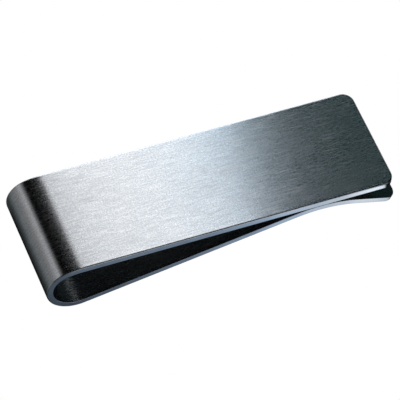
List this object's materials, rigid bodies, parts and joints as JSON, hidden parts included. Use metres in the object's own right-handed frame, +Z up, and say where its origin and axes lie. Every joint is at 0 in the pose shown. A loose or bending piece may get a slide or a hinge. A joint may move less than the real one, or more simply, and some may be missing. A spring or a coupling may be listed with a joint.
{
  "type": "money clip",
  "caption": "Folded spring-steel money clip: a flat front leaf, a round spring bend and a back leaf that grips near its flared lip.",
  "frame": {"origin": "centre of the overall length and width, on the surface that the closed clip lies on", "axes": "+Z up, +X along the length from the spring bend towards the free ends, +Y across the width of the strip"},
  "size_m": [0.0594, 0.019, 0.01],
  "materials": {
    "brushed_strip": "satin, fine grain brushed along the strip"
  },
  "bodies": {
    "back_arm": {"back_leaf": "brushed_strip", "grip_bend": "brushed_strip", "flared_lip": "brushed_strip"},
    "lower_bend": {"lower_bend": "brushed_strip"},
    "upper_bend": {"upper_bend": "brushed_strip"},
    "front_arm": {"front_leaf": "brushed_strip"}
  },
  "joints": [
    {"name": "back_flex", "type": "hinge", "parent": "back_arm", "child": "lower_bend", "pos_m": [-0.02355, 0, 0.00004], "axis": [0, -1, 0], "range_deg": [0, 2.8], "stiffness_Nm_per_rad": 23},
    {"name": "bend_flex", "type": "hinge", "parent": "lower_bend", "child": "upper_bend", "pos_m": [-0.02969, 0, 0.00593], "axis": [0, -1, 0], "range_deg": [0, 1.25], "stiffness_Nm_per_rad": 56},
    {"name": "front_flex", "type": "hinge", "parent": "upper_bend", "child": "front_arm", "pos_m": [-0.02496, 0, 0.00997], "axis": [0, -1, 0], "range_deg": [0, 2.8], "stiffness_Nm_per_rad": 23}
  ],
  "couplings": [
    {"joint": "back_flex", "follows": "bend_flex", "ratio": 2.24},
    {"joint": "front_flex", "follows": "bend_flex", "ratio": 2.24}
  ]
}
